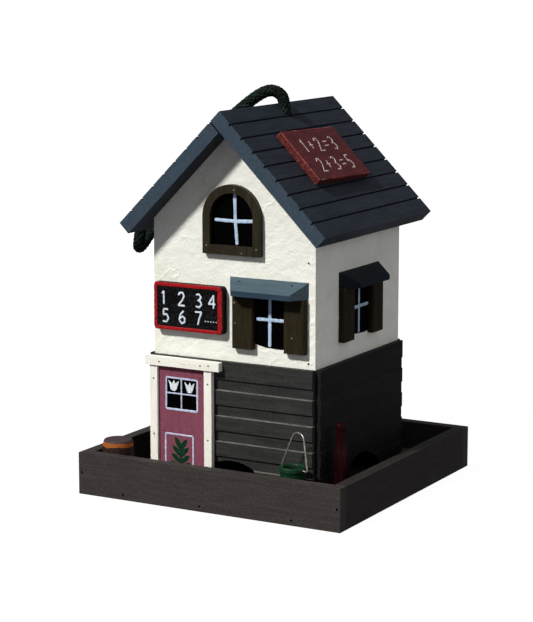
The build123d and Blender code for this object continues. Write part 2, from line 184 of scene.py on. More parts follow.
def unit(vectors):
    """Vectors scaled to length 1."""
    return vectors / np.linalg.norm(vectors, axis=-1, keepdims=True)


def route(name, points):
    """The smooth line of a cord: Blender's own points for a NURBS spline with these control points."""
    curve = bpy.data.curves.new(name, "CURVE")
    curve.dimensions = "3D"
    curve.resolution_u = 40
    spline = curve.splines.new("NURBS")
    spline.points.add(len(points) - 1)
    spline.points.foreach_set("co", np.column_stack([points, np.ones(len(points))]).ravel())
    spline.order_u = 3
    spline.use_endpoint_u = True
    holder = bpy.data.objects.new(name, curve)
    line = bpy.data.meshes.new_from_object(holder)
    bpy.data.objects.remove(holder)
    return corners_of(line)


def evenly(path, spacing):
    """The path's points again, spaced evenly along it, and their distances from its start."""
    along = np.concatenate([[0], np.cumsum(np.linalg.norm(np.diff(path, axis=0), axis=1))])
    stations = np.linspace(0, along[-1], int(along[-1] / spacing) + 2)
    return np.column_stack([np.interp(stations, along, path[:, k]) for k in range(3)]), stations


def tube(centres, across, over, sides, wide, thick):
    """A tube along centres. Its section is an ellipse, wide along across and thick along over."""
    turn = np.linspace(0, 2 * pi, sides, endpoint=False)
    ring = wide * np.cos(turn)[:, None] * across[:, None] + thick * np.sin(turn)[:, None] * over[:, None]
    return centres[:, None] + ring


strands_each_way = 8
strand_lay = 0.0300
strand_wide = 0.00098
strand_thick = 0.00072
strand_wave = 0.00030
strand_sides = 6


def braid(name, path, side, body, materials):
    """Two sets of strands wound opposite ways round the path, each over and under the other by turns.

    A strand's angle is +-2 pi s / lay, and its distance from the middle swings by +-wave once per two
    crossings: cos(strands * 2 pi s / lay). side is a direction that the path never runs along.
    """
    centres, along = evenly(path, 0.00055)
    ahead = unit(np.gradient(centres, axis=0))
    first = unit(side - (ahead @ side)[:, None] * ahead)
    second = np.cross(ahead, first)
    turns = 2 * pi * along / strand_lay
    middle = rope_diameter / 2 - strand_thick - strand_wave
    points, faces, paints = [], [], []
    for hand in (1, -1):
        for k in range(strands_each_way):
            angle = hand * turns + 2 * pi * k / strands_each_way
            outward = np.cos(angle)[:, None] * first + np.sin(angle)[:, None] * second
            reach = middle + hand * strand_wave * np.cos(strands_each_way * turns)
            strand = centres + reach[:, None] * outward
            run = unit(np.gradient(strand, axis=0))
            rings = tube(strand, np.cross(run, outward), outward, strand_sides, strand_wide, strand_thick)
            caps = [strand[:1], strand[-1:]]
            count = sum(len(p) for p in points)
            quads = grid_faces(len(strand), strand_sides, closed_columns=True)[:, ::-1] + count
            last = count + rings.shape[0] * strand_sides
            edge = np.arange(strand_sides)
            after = (edge + 1) % strand_sides
            start = np.stack([count + edge, count + after, np.full(strand_sides, last)], -1)
            far = last - strand_sides
            end = np.stack([far + after, far + edge, np.full(strand_sides, last + 1)], -1)
            points += [rings.reshape(-1, 3), *caps]
            faces += quads.tolist() + start.tolist() + end.tolist()
            paints += [1 if k % 3 == 0 else 0] * (len(quads) + 2 * strand_sides)
    mesh_points = np.concatenate(points)
    piece = new_piece(name, mesh_points, np.array(faces, dtype=object), body, materials)
    piece.data.polygons.foreach_set("material_index", paints)
    return piece


def yarn(name, dark, light):
    """Soft twisted yarn: fine slanting fibres as bump, and paler fluff here and there."""
    material, add, wire = finish_of(name, 0.85)
    place = add("TexCoord").outputs["Object"]
    fibre = add("TexNoise", [("Vector", place), ("Scale", 2600.0), ("Detail", 2.0)])
    patch = add("TexNoise", [("Vector", place), ("Scale", 420.0), ("Detail", 3.0)])
    wire(ramp_of(add, patch.outputs["Fac"], [(0.35, dark), (0.72, light)]), "Base Color")
    bump = add("Bump", [("Height", fibre.outputs["Fac"]), ("Strength", 0.7), ("Distance", 0.0003)])
    wire(bump.outputs["Normal"], "Normal")
    return material


rope_paints = [
    yarn("rope_black_yarn", (0.003, 0.004, 0.0035), (0.008, 0.015, 0.010)),
    yarn("rope_green_yarn", (0.0035, 0.009, 0.0055), (0.014, 0.038, 0.021)),
]
rope_path = route("rope_route", rope_points)
rope_side = unit(np.array([0.75, 0.0, -0.66]))
rope = braid("rope_loop_braid", rope_path, rope_side, "roof", rope_paints)
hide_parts("rope_loop")

sling_path = route("sling_route", sling_points)
sling = braid("rope_sling_braid", sling_path, np.array([0.0, 1.0, 0.0]), None, rope_paints)
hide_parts("rope_sling")
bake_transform(sling)


# ---- Tray ----
# Four stained softwood boards round a floor board, butted and nailed. The arrises are rubbed down, and
# their stain has worn to brown. The right board's stain is painted darker, as painted shade.
def lift_of(node):
    """The lowest and highest corner of a CAD node as arrays."""
    return np.array(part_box(node)[0]), np.array(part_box(node)[1])


def eased(node, width, body, paint, worn, segments=2):
    """A board with rubbed arrises: the CAD triangles joined into flat faces, then bevelled by width."""
    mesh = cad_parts[node].data.copy()
    mesh.materials.clear()
    build = bmesh.new()
    build.from_mesh(mesh)
    bmesh.ops.remove_doubles(build, verts=build.verts, dist=1e-6)
    bmesh.ops.dissolve_limit(build, angle_limit=radians(1.5), verts=build.verts, edges=build.edges)
    build.to_mesh(mesh)
    build.free()
    mesh.materials.append(paint)
    mesh.materials.append(worn)
    mesh.polygons.foreach_set("material_index", np.zeros(len(mesh.polygons), int))
    mesh.polygons.foreach_set("use_smooth", np.ones(len(mesh.polygons), bool))
    board = placed(node + "_eased", mesh)
    arris = board.modifiers.new("arris", "BEVEL")
    arris.width = width
    arris.segments = segments
    arris.limit_method = "ANGLE"
    arris.angle_limit = radians(35)
    arris.material = 1
    flat = board.modifiers.new("flat", "WEIGHTED_NORMAL")
    flat.weight = 100
    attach(board, body)
    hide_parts(node)
    return board


def math_node(tree, operation, *values):
    """The output of a math node fed with sockets or plain numbers."""
    node = tree.nodes.new("ShaderNodeMath")
    node.operation = operation
    for socket, value in zip(node.inputs, values):
        if isinstance(value, bpy.types.NodeSocket):
            tree.links.new(value, socket)
        else:
            socket.default_value = value
    return node.outputs[0]


def over_paint(material, factor, colour):
    """Lays a second colour over a material's own one, as far as the factor says."""
    tree = material.node_tree
    base = tree.nodes["Principled BSDF"].inputs["Base Color"]
    mix = tree.nodes.new("ShaderNodeMix")
    mix.data_type = "RGBA"
    tree.links.new(factor, mix.inputs["Factor"])
    tree.links.new(base.links[0].from_socket, mix.inputs["A"])
    mix.inputs["B"].default_value = (*colour, 1)
    tree.links.new(mix.outputs["Result"], base)


def place_of(material):
    """A material's Object coordinates, whole and as x, y and z."""
    tree = material.node_tree
    place = tree.nodes.new("ShaderNodeTexCoord").outputs["Object"]
    split = tree.nodes.new("ShaderNodeSeparateXYZ")
    tree.links.new(place, split.inputs[0])
    return place, *split.outputs


def noise_of(material, place, scale):
    """A plain noise of a material's Object coordinates."""
    noise = material.node_tree.nodes.new("ShaderNodeTexNoise")
    noise.inputs["Scale"].default_value = scale
    material.node_tree.links.new(place, noise.inputs["Vector"])
    return noise.outputs["Fac"]


rubbed_wood = (0.30, 0.24, 0.18)


def painted_wood(
    name,
    colour,
    deep,
    pale,
    grain,
    roughness=0.6,
    strength=0.35,
    wear=0.0,
    bare=rubbed_wood,
    grit=0.25,
    gloss=0.15,
):
    """Paint or stain over wood, with streaks from deep to pale along the grain, which is the axis X, Y or Z.

    The colour is a ramp read at (1 - grit) (0.8 streak + 0.2 cloud) + grit fine, the bump streak + fine.
    Where a finer streak passes about 0.75 - wear, the bare wood shows.
    """
    material, add, wire = finish_of(name, roughness, gloss)
    place = add("TexCoord").outputs["Object"]
    stretch = [420.0, 420.0, 420.0]
    stretch["XYZ".index(grain)] = 36.0
    lie = add("Mapping", [("Vector", place), ("Scale", stretch)])
    grain_place = ("Vector", lie.outputs[0])
    streak = add("TexNoise", [grain_place, ("Scale", 1.0), ("Detail", 5.0), ("Roughness", 0.62)])
    cloud = add("TexNoise", [("Vector", place), ("Scale", 45.0), ("Detail", 4.0)])
    fine = add("TexNoise", [("Vector", place), ("Scale", 750.0), ("Detail", 3.0), ("Roughness", 0.75)])
    mixed = add("Mix", [("Factor", 0.2), ("A", streak.outputs["Fac"]), ("B", cloud.outputs["Fac"])])
    gritty = add("Mix", [("Factor", grit), ("A", mixed.outputs["Result"]), ("B", fine.outputs["Fac"])])
    wire(ramp_of(add, gritty.outputs["Result"], [(0.38, deep), (0.50, colour), (0.63, pale)]), "Base Color")
    if wear:
        pores = add("Mapping", [("Vector", place), ("Scale", [s * 2.2 for s in stretch])])
        speck = add("TexNoise", [("Vector", pores.outputs[0]), ("Scale", 1.0), ("Detail", 4.0)])
        span = [("From Min", 0.75 - wear), ("From Max", 0.8 - wear)]
        worn = add("MapRange", [("Value", speck.outputs["Fac"]), *span])
        over_paint(material, worn.outputs[0], bare)
    height = add("Math", [(0, streak.outputs["Fac"]), (1, fine.outputs["Fac"])], operation="ADD")
    bump = add("Bump", [("Height", height.outputs[0]), ("Strength", strength), ("Distance", 0.0004)])
    wire(bump.outputs["Normal"], "Normal")
    return material


def faces_towards(board, direction, least, paint):
    """Paints the faces whose normal has a part of least or more along the direction."""
    normals = np.zeros(3 * len(board.data.polygons))
    board.data.polygons.foreach_get("normal", normals)
    chosen = normals.reshape(-1, 3) @ np.array(direction, float) >= least
    index = np.zeros(len(chosen), int)
    board.data.polygons.foreach_get("material_index", index)
    if paint.name not in board.data.materials:
        board.data.materials.append(paint)
    index[chosen] = board.data.materials.find(paint.name)
    board.data.polygons.foreach_set("material_index", index)


tray_tones = ((0.040, 0.034, 0.0315), (0.024, 0.0205, 0.019), (0.060, 0.0515, 0.047))
# A darker copy of the tray stain: painted shade for the right board, which faces away from the key light.
painted_shade_tray_tones = ((0.024, 0.020, 0.018), (0.013, 0.011, 0.010), (0.037, 0.032, 0.029))
tray_arris = 0.0004
worn_tones = ((0.085, 0.072, 0.056), (0.035, 0.03, 0.026), (0.20, 0.17, 0.13))
for piece, grain in zip(("front_board", "rear_board", "right_board", "left_board", "floor"), "XXYYY"):
    node = "tray_" + piece
    # The right board takes the darker tones as painted shade.
    tones = painted_shade_tray_tones if piece == "right_board" else tray_tones
    stain = painted_wood(node + "_stain", *tones, grain, strength=0.25, grit=0.6)
    worn = painted_wood(node + "_worn", *worn_tones, grain)
    eased(node, tray_arris, "house", stain, worn)


def steel(name, colour, roughness, metal=0.8):
    """Dull drawn steel with darker tarnish in spots."""
    material, add, wire = finish_of(name, roughness)
    place = add("TexCoord").outputs["Object"]
    tarnish = add("TexNoise", [("Vector", place), ("Scale", 900.0), ("Detail", 3.0)])
    dark = tuple(0.35 * c for c in colour)
    wire(ramp_of(add, tarnish.outputs["Fac"], [(0.3, dark), (0.7, colour)]), "Base Color")
    material.node_tree.nodes["Principled BSDF"].inputs["Metallic"].default_value = metal
    return material


dark_brad = steel("brad_dark_steel", (0.006, 0.005, 0.005), 0.7, 0.2)


def repaint(node, material):
    """Gives a CAD node that stays in view its finish."""
    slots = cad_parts[node].data.materials
    slots.clear()
    slots.append(material)


for node in ("tray_brads", "floor_brads", "wall_brads", "siding_brads", "ridge_brads"):
    repaint(node, dark_brad)


# ---- Walls ----
# Softwood boards under a coat of thick white paint, put on with a trowel. The coat covers each wall from the
# siding up, about a third of a millimetre thick, with slow waves, slanting trowel marks and broken crests.
gable_low, gable_high = lift_of("front_wall")
half_width = gable_high[0]
half_depth = -gable_low[1]
apex_height = gable_high[2]
eave_height = lift_of("right_wall")[1][2]
siding_top = lift_of("right_siding")[1][2]
coat = 0.00030


def value_noise(x, y, cell, seed):
    """Smooth random heights from -1 to 1: random values on a square lattice, blended by 3t^2 - 2t^3."""
    lattice = np.random.default_rng(seed).uniform(-1, 1, (256, 256))
    u, v = x / cell + 64.37, y / cell + 64.71
    i, j = np.floor(u).astype(int), np.floor(v).astype(int)
    s, t = u - i, v - j
    s, t = s * s * (3 - 2 * s), t * t * (3 - 2 * t)
    i, j = i % 255, j % 255
    low = lattice[i, j] * (1 - s) + lattice[i + 1, j] * s
    high = lattice[i, j + 1] * (1 - s) + lattice[i + 1, j + 1] * s
    return low * (1 - t) + high * t


def trowelled(x, z, seed):
    """Height of the coat in metres: waves 25 mm long, marks that slant up to the right, crests and pits.

    A crest is exp(-(n / 0.07)^2), thin ridges where a slow noise n crosses zero, kept only in patches.
    """
    slant = radians(38)
    run = x * cos(slant) + z * sin(slant)
    rise = -x * sin(slant) + z * cos(slant)
    waves = 0.5 * value_noise(x, z, 0.025, seed) + 0.3 * value_noise(x, z, 0.011, seed + 1)
    marks = value_noise(run * 0.28, rise, 0.0028, seed + 2) * (0.4 + 0.6 * value_noise(x, z, 0.03, seed + 3))
    line = value_noise(run * 0.45, rise, 0.0085, seed + 4) + 0.25 * value_noise(x, z, 0.003, seed + 5)
    crest = np.exp(-((line / 0.07) ** 2)) * np.clip(value_noise(x, z, 0.016, seed + 6) * 1.6 - 0.15, 0, 1)
    pits = -np.exp(-(((value_noise(x, z, 0.0016, seed + 7) - 0.95) / 0.12) ** 2))
    return 0.00026 * waves + 0.00014 * marks + 0.00044 * crest + 0.00008 * pits


plaster_tone = (0.86, 0.865, 0.78)


def plaster():
    """White paint as thick as plaster: slightly warm, mottled, with a fine grainy bump."""
    material, add, wire = finish_of("plaster_coat", 0.72)
    place = add("TexCoord").outputs["Object"]
    mottle = add("TexNoise", [("Vector", place), ("Scale", 55.0), ("Detail", 5.0), ("Roughness", 0.6)])
    whites = [(0.30, (0.80, 0.80, 0.71)), (0.52, plaster_tone), (0.75, (0.90, 0.905, 0.84))]
    wire(ramp_of(add, mottle.outputs["Fac"], whites), "Base Color")
    stretch = ("Scale", (130.0, 130.0, 190.0))
    slant = add("Mapping", [("Vector", place), ("Rotation", (0.5, 0.6, 0.0)), stretch]).outputs[0]
    swept = add("TexNoise", [("Vector", slant), ("Scale", 1.0), ("Detail", 6.0), ("Roughness", 0.6)])
    drag = add("Bump", [("Height", swept.outputs["Fac"]), ("Strength", 0.5), ("Distance", 0.0015)])
    grit = add("TexNoise", [("Vector", place), ("Scale", 700.0), ("Detail", 4.0)])
    under = ("Normal", drag.outputs["Normal"])
    bump = add("Bump", [("Height", grit.outputs["Fac"]), ("Strength", 0.5), ("Distance", 0.0005), under])
    wire(bump.outputs["Normal"], "Normal")
    return material


plaster_white = plaster()


def wall_board():
    """The boards under the coat: painted shade inside and behind the siding, white on the outside above it.
    """
    # Near black tones: painted shade for the inside of the house.
    painted_shade_inside_tones = ((0.016, 0.014, 0.013), (0.010, 0.009, 0.008), (0.03, 0.027, 0.025))
    material = painted_wood("wall_board", *painted_shade_inside_tones, "Z")
    tree = material.node_tree
    place, x, y, z = place_of(material)
    right = math_node(tree, "GREATER_THAN", math_node(tree, "ABSOLUTE", x), half_width - 0.0006)
    front = math_node(tree, "GREATER_THAN", math_node(tree, "ABSOLUTE", y), half_depth - 0.0006)
    above = math_node(tree, "GREATER_THAN", z, siding_top - 0.001)
    outside = math_node(tree, "MULTIPLY", math_node(tree, "MAXIMUM", right, front), above)
    over_paint(material, outside, plaster_tone)
    return material


wall_paint = wall_board()
for node in ("front_wall", "rear_wall", "right_wall", "left_wall"):
    repaint(node, wall_paint)

# Each wall's own frame: a point on the middle of its outer face at floor level, and the directions along
# it, up it and out of it.
rightward, rearward, up = np.eye(3)
front_wall = (-half_depth * rearward, rightward, up, -rearward)
rear_wall = (half_depth * rearward, -rightward, up, rearward)
right_wall = (half_width * rightward, rearward, up, rightward)
left_wall = (-half_width * rightward, -rearward, up, -rightward)


def on(wall, x, z, out):
    """Points x along, z up and out from a wall's face."""
    origin, along, upward, outward = wall
    x, z, out = np.broadcast_arrays(x, z, out)
    return origin + x[..., None] * along + z[..., None] * upward + out[..., None] * outward


def closed_sheet(front_points, back_points):
    """A grid of points and a grid behind it, joined round the rim: (points, faces) facing outwards."""
    rows, columns = front_points.shape[:2]
    size = rows * columns
    faces = grid_faces(rows, columns)
    index = np.arange(size).reshape(rows, columns)
    rim = np.concatenate([index[0, :-1], index[:-1, -1], index[-1, :0:-1], index[:0:-1, 0]])
    after = np.roll(rim, -1)
    sides = np.stack([rim, rim + size, after + size, after], -1)
    points = np.concatenate([front_points.reshape(-1, 3), back_points.reshape(-1, 3)])
    return points, np.concatenate([faces, faces[:, ::-1] + size, sides])


coat_step = 0.00062
for name, wall, reach, top, seed in (
    ("front_plaster", front_wall, half_width, apex_height, 11),
    ("rear_plaster", rear_wall, half_width, apex_height, 23),
    ("right_plaster", right_wall, half_depth, eave_height, 37),
    ("left_plaster", left_wall, half_depth, eave_height, 53),
):
    z = np.linspace(siding_top - 0.0005, top, int((top - siding_top) / coat_step))[:, None]
    half = np.minimum(reach + coat, apex_height - z) if top == apex_height else np.full_like(z, reach + coat)
    across = np.linspace(-1, 1, int(2 * reach / coat_step))[None, :]
    x = across * half
    rim = np.clip((half - np.abs(x)) / 0.002, 0, 1)
    out = coat + trowelled(x, z, seed) * rim
    points, faces = closed_sheet(on(wall, x, z + 0 * x, out), on(wall, x, z + 0 * x, -0.0004))
    new_piece(name, points, faces, "house", [plaster_white])


# ---- Drop siding ----
# One milled softwood panel nailed on each side of the lower storey, stained charcoal. A pale line on the
# ledge of each raised row is partly wood worn through to grey and partly painted highlight. The right panel
# is painted darker as painted shade.
ledges = [0.0752, 0.0576, 0.0400, 0.0224]
ledge_line = 0.00034
siding_tones = ((0.027, 0.027, 0.026), (0.017, 0.017, 0.017), (0.040, 0.040, 0.038))
# A darker copy of the siding stain: painted shade for the right panel, which stands in shade.
painted_shade_siding_tones = ((0.0085, 0.0085, 0.009), (0.005, 0.005, 0.0055), (0.015, 0.0155, 0.016))


def siding_stain_and_ledge_highlight(name, grain, tones, worn):
    """Charcoal stain with a broken pale line 0.7 mm high on each ledge, as strong as worn.

    The pale line is partly wood worn to grey and partly painted highlight.
    """
    material = painted_wood(name, *tones, grain, roughness=0.62, strength=0.6, grit=0.4)
    tree = material.node_tree
    place, x, y, z = place_of(material)
    line = 0.0
    for height in ledges:
        gap = math_node(tree, "ABSOLUTE", math_node(tree, "SUBTRACT", z, height))
        line = math_node(tree, "ADD", line, math_node(tree, "LESS_THAN", gap, ledge_line))
    broken = math_node(tree, "MULTIPLY", noise_of(material, place, 190.0), worn)
    # The pale ledge colour: worn grey wood and painted highlight.
    over_paint(material, math_node(tree, "MULTIPLY", line, broken), (0.19, 0.185, 0.165))
    return material


# worn sets the pale ledge line for each side. It is strongest on the lit front and almost off on the shaded
# right side, as painted highlight.
for node, grain, tones, worn in (
    ("front_siding", "X", siding_tones, 1.3),
    ("rear_siding", "X", siding_tones, 0.6),
    ("right_siding", "Y", painted_shade_siding_tones, 0.08),
    ("left_siding", "Y", siding_tones, 0.4),
):
    stain = siding_stain_and_ledge_highlight(node + "_stain", grain, tones, worn)
    board = eased(node, 0.00025, "house", stain, stain)
    if node != "front_siding":
        # Thick stain fills the steps between the rows of these panels to half their depth.
        axis = 1 if grain == "X" else 0
        points = corners_of(board.data)
        face = np.abs(points[:, axis]).max()
        depth = face - np.abs(points[:, axis])
        near = (depth > 0) & (depth < 0.0024)
        points[near, axis] += np.sign(points[near, axis]) * 0.5 * depth[near]
        board.data.vertices.foreach_set("co", points.ravel())


# ---- Door ----
# A thin plum panel between two off-white jambs under a lintel, nailed on the siding. The window, its
# curtains, the lower frame and the sprig are painted by hand with a fine brush.
def shifted(wall, out):
    """The wall's frame, out metres further out."""
    origin, along, upward, outward = wall
    return origin + out * outward, along, upward, outward


def stroke(wall, points, width, seed, height=0.00012, ends=0.35):
    """One brush stroke on a wall as (points, faces): a domed ribbon along the points, softened at the turns.

    Its width wavers by 14 %, and at each end shrinks to ends of itself as a square root over half a width.
    """
    line, along = evenly(np.array([(x, z, 0.0) for x, z in points]), 0.00025)
    pad = max(1, int(0.35 * width / 0.00025))
    soft = np.pad(line, ((pad, pad), (0, 0)), mode="edge")
    kernel = np.ones(2 * pad + 1) / (2 * pad + 1)
    line = np.column_stack([np.convolve(soft[:, k], kernel, mode="valid") for k in range(3)])
    run = unit(np.gradient(line, axis=0) + 1e-12)
    normal = np.column_stack([-run[:, 1], run[:, 0], np.zeros(len(run))])
    waver = 1 + 0.14 * value_noise(along, 0 * along, 0.0017, seed)
    near_end = np.minimum(along, along[-1] - along) / (0.5 * width)
    taper = ends + (1 - ends) * np.sqrt(np.clip(near_end, 0, 1))
    half = 0.5 * width * waver * taper
    across = np.array([-1.0, -0.72, -0.35, 0.0, 0.35, 0.72, 1.0])
    dome = height * np.array([0.0, 0.8, 0.95, 1.0, 0.95, 0.8, 0.0])
    grid = line[:, None] + half[:, None, None] * across[None, :, None] * normal[:, None]
    front_points = on(wall, grid[..., 0], grid[..., 1], dome[None, :] + 0.00002)
    back_points = on(wall, grid[..., 0], grid[..., 1], -0.0001)
    return closed_sheet(front_points, back_points)


def strokes(wall, lines, seed, height=0.00012):
    """A brush stroke for each (points, width), each with the next seed."""
    return [stroke(wall, points, width, seed + k, height) for k, (points, width) in enumerate(lines)]


def patch(wall, outline, seed, height=0.00010, waver=0.00012):
    """A painted patch on a wall as (points, faces): rings that shrink from the outline to its middle, domed.

    The outline is a list of corners, taken as closed, and its edge wavers as a hand-painted one does.
    """
    corners = np.array([*outline, outline[0]])
    line, along = evenly(np.column_stack([corners, np.zeros(len(corners))]), 0.00045)
    line = line[:-1, :2]
    middle = line.mean(axis=0)
    line = line + waver * value_noise(along[:-1], 0 * along[:-1], 0.0016, seed)[:, None] * unit(line - middle)
    share = np.array([1.0, 0.93, 0.7, 0.35, 0.001])
    rise = height * np.array([0.0, 0.8, 1.0, 1.0, 1.0])
    grid = middle + share[:, None, None] * (line - middle)[None]
    front_points = on(wall, grid[..., 0], grid[..., 1], rise[:, None] + 0.00001)
    back_points = on(wall, grid[..., 0], grid[..., 1], -0.0001)
    rows, columns = grid.shape[:2]
    size = rows * columns
    faces = grid_faces(rows, columns, closed_columns=True)
    edge = np.arange(columns)
    after = (edge + 1) % columns
    sides = np.stack([edge, edge + size, after + size, after], -1)
    hub = (rows - 1) * columns + edge
    points = np.concatenate([front_points.reshape(-1, 3), back_points.reshape(-1, 3)])
    quads = np.concatenate([faces, faces[:, ::-1] + size, sides])
    build = [quads.tolist(), [hub.tolist()], [(hub[::-1] + size).tolist()]]
    return points, np.array([face for group in build for face in group], dtype=object)


def closed_up(piece):
    """Fills a piece's open ends and turns its faces outwards."""
    build = bmesh.new()
    build.from_mesh(piece.data)
    bmesh.ops.holes_fill(build, edges=build.edges)
    bmesh.ops.recalc_face_normals(build, faces=build.faces)
    build.to_mesh(piece.data)
    build.free()
    return piece


def painted(name, films, material, body="house"):
    """One piece out of many strokes and patches."""
    points, faces, count = [], [], 0
    for film_points, film_faces in films:
        points.append(film_points)
        faces += [[i + count for i in face] for face in film_faces.tolist()]
        count += len(film_points)
    piece = new_piece(name, np.concatenate(points), np.array(faces, dtype=object), body, [material])
    closed_up(piece)


def brush_paint(name, thin, full, roughness=0.45, gloss=0.15):
    """Artist's paint laid on by brush: thin where the brush ran dry, with fine bristle marks."""
    material, add, wire = finish_of(name, roughness, gloss)
    place = add("TexCoord").outputs["Object"]
    dry = add("TexNoise", [("Vector", place), ("Scale", 520.0), ("Detail", 4.0), ("Roughness", 0.7)])
    wire(ramp_of(add, dry.outputs["Fac"], [(0.34, thin), (0.60, full)]), "Base Color")
    bristle = add("TexNoise", [("Vector", place), ("Scale", 1800.0), ("Detail", 2.0)])
    bump = add("Bump", [("Height", bristle.outputs["Fac"]), ("Strength", 0.3), ("Distance", 0.0003)])
    wire(bump.outputs["Normal"], "Normal")
    return material


def rectangle(left, right, foot, head):
    """The corners of an upright rectangle."""
    return [(left, foot), (right, foot), (right, head), (left, head)]


def curtain(x, z, width, height):
    """A curtain's outline like a tulip: a round foot and three points."""
    turn = np.linspace(pi, 2 * pi, 13)
    foot = [(x + 0.30 * width * cos(t), z + 0.25 * height * (1 + sin(t))) for t in turn]
    tips = ((0.50, 0.96), (0.20, 0.62), (0.03, 1.0), (-0.18, 0.62), (-0.50, 0.98))
    return foot + [(x + s * width, z + height * t) for s, t in tips]


def leaf(x, z, length, width, angle):
    """A pointed oval outline from (x, z), turned angle degrees up from the wall's x axis."""
    t = np.linspace(0, pi, 9)
    run = np.concatenate([0.5 * length * (1 - np.cos(t)), 0.5 * length * (1 + np.cos(t[1:-1]))])
    rise = 0.5 * width * np.concatenate([np.sin(t) ** 1.3, -np.sin(t[1:-1]) ** 1.3])
    turn = radians(angle)
    return list(zip(x + run * cos(turn) - rise * sin(turn), z + run * sin(turn) + rise * cos(turn)))


plum_tones = ((0.208, 0.059, 0.092), (0.176, 0.047, 0.075), (0.240, 0.074, 0.112))
door_plum = painted_wood("door_plum", *plum_tones, "Z", strength=0.25, grit=0.6)
trim_tones = ((0.88, 0.86, 0.78), (0.81, 0.78, 0.69), (0.91, 0.90, 0.83))
rubbed_trim = {"strength": 0.45, "wear": 0.09, "bare": (0.42, 0.33, 0.24)}
jamb_white = painted_wood("jamb_white", *trim_tones, "Z", **rubbed_trim)
lintel_white = painted_wood("lintel_white", *trim_tones, "X", **rubbed_trim)
trim_worn = painted_wood("trim_worn", *trim_tones, "Z", wear=0.15, bare=(0.38, 0.28, 0.20))
eased("door_panel", 0.0002, "house", door_plum, door_plum)
for piece, white in (("jamb_left", jamb_white), ("jamb_right", jamb_white), ("lintel", lintel_white)):
    eased("door_" + piece, 0.00045, "house", white, trim_worn)
repaint("door_brads", steel("brad_rusty_steel", (0.10, 0.055, 0.035), 0.6))
pale_blue = brush_paint("pale_blue_brush", (0.30, 0.42, 0.60), (0.53, 0.66, 0.82))
pale_lilac = brush_paint("pale_lilac_brush", (0.36, 0.40, 0.58), (0.60, 0.65, 0.80))
pane_black = brush_paint("pane_black", (0.0003, 0.0003, 0.0004), (0.0012, 0.0012, 0.0015), 0.5, 0.015)
chalk_white = brush_paint("chalk_white_brush", (0.44, 0.52, 0.62), (0.74, 0.81, 0.88))
curtain_white = brush_paint("curtain_white_brush", (0.55, 0.62, 0.68), (0.86, 0.89, 0.92))
leaf_green = brush_paint("leaf_green_brush", (0.003, 0.018, 0.008), (0.005, 0.045, 0.018))
door_face = shifted(front_wall, -half_depth - lift_of("door_panel")[0][1])
door_film = shifted(door_face, 0.00004)
left, right, foot, head = -0.0497, -0.0251, 0.0587, 0.0805
middle, rail = -0.0376, 0.0698
bar_wide = 0.0013
panes = patch(door_face, rectangle(left, right, foot, head), 3, 0.00004)
painted("door_window_panes", [panes], pane_black)
window_bars = [
    ([(left, head), (right, head - 0.0003)], bar_wide),
    ([(left, foot), (right, foot)], bar_wide * 1.2),
    ([(left, foot), (left + 0.0002, head)], bar_wide),
    ([(right, foot), (right, head)], bar_wide * 1.1),
    ([(middle, foot), (middle, head)], bar_wide * 0.8),
    ([(left, rail), (right, rail)], bar_wide * 0.8),
]
painted("door_window_bars", strokes(door_film, window_bars, 5), pale_lilac)
curtains = [curtain(-0.0437, 0.0713, 0.0086, 0.0078), curtain(-0.0311, 0.0710, 0.0080, 0.0076)]
curtain_films = [patch(door_film, outline, 12 + k, waver=0.0002) for k, outline in enumerate(curtains)]
painted("door_curtains", curtain_films, curtain_white)
left, right, foot, head = -0.0504, -0.0286, 0.0125, 0.0415
frame_lines = [[(left, foot), (left, head)], [(right, foot), (right, head - 0.0002)]]
frame_lines += [[(left, head), (right, head - 0.0002)], [(left, foot), (right, foot)]]
lower_frame = strokes(door_film, [(line, bar_wide * 0.9) for line in frame_lines], 14)
painted("door_lower_frame", lower_frame, pale_lilac)

# The sprig has five pairs of leaves, which turn upwards towards its tip.
sprig_x = -0.0387
leaf_pairs = ((0.0128, 150, 31), (0.0172, 147, 34), (0.0217, 142, 38), (0.0262, 134, 45), (0.0308, 120, 53))
sprig = []
for z, left_angle, right_angle in leaf_pairs:
    for leaf_x, leaf_z, length, angle in (
        (sprig_x + 0.0010, z, 0.0104, left_angle),
        (sprig_x - 0.0010, z - 0.0004, 0.0106, right_angle),
    ):
        outline = leaf(leaf_x, leaf_z, length, 0.0037, angle)
        sprig.append(patch(door_film, outline, 20 + len(sprig), waver=0.00025))
sprig.append(stroke(door_film, [(sprig_x, 0.0140), (sprig_x + 0.0002, 0.0320)], 0.0016, 31))
painted("door_sprig", sprig, leaf_green)


# ---- Nail holes ----
# The brads at the front wall's right edge and in the tray's front board are punched in and only half
# filled. Each dimple is drawn as a flat dark disc: the brad's own dark and painted shade in the dent.
def heads_on_front(node):
    """The middle (x, z) of each brad head of a node on the plane nearest to the front."""
    points = corners_of(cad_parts[node].data)
    points = points[points[:, 1] < points[:, 1].min() + 0.0003]
    middles = []
    while len(points):
        near = np.hypot(points[:, 0] - points[0, 0], points[:, 2] - points[0, 2]) < 0.003
        middles.append((points[near, 0].mean(), points[near, 2].mean()))
        points = points[~near]
    return middles


def nail_holes(name, wall, middles, radius):
    """Dark uneven discs where nails went in."""
    turn = np.linspace(0, 2 * pi, 15)[:-1]
    films = []
    for k, (x, z) in enumerate(middles):
        outline = [(x + radius * cos(t), z + 1.15 * radius * sin(t)) for t in turn]
        films.append(patch(wall, outline, 33 + k, 0.00005, 0.00012))
    painted(name, films, nail_dark_and_dent_shade)


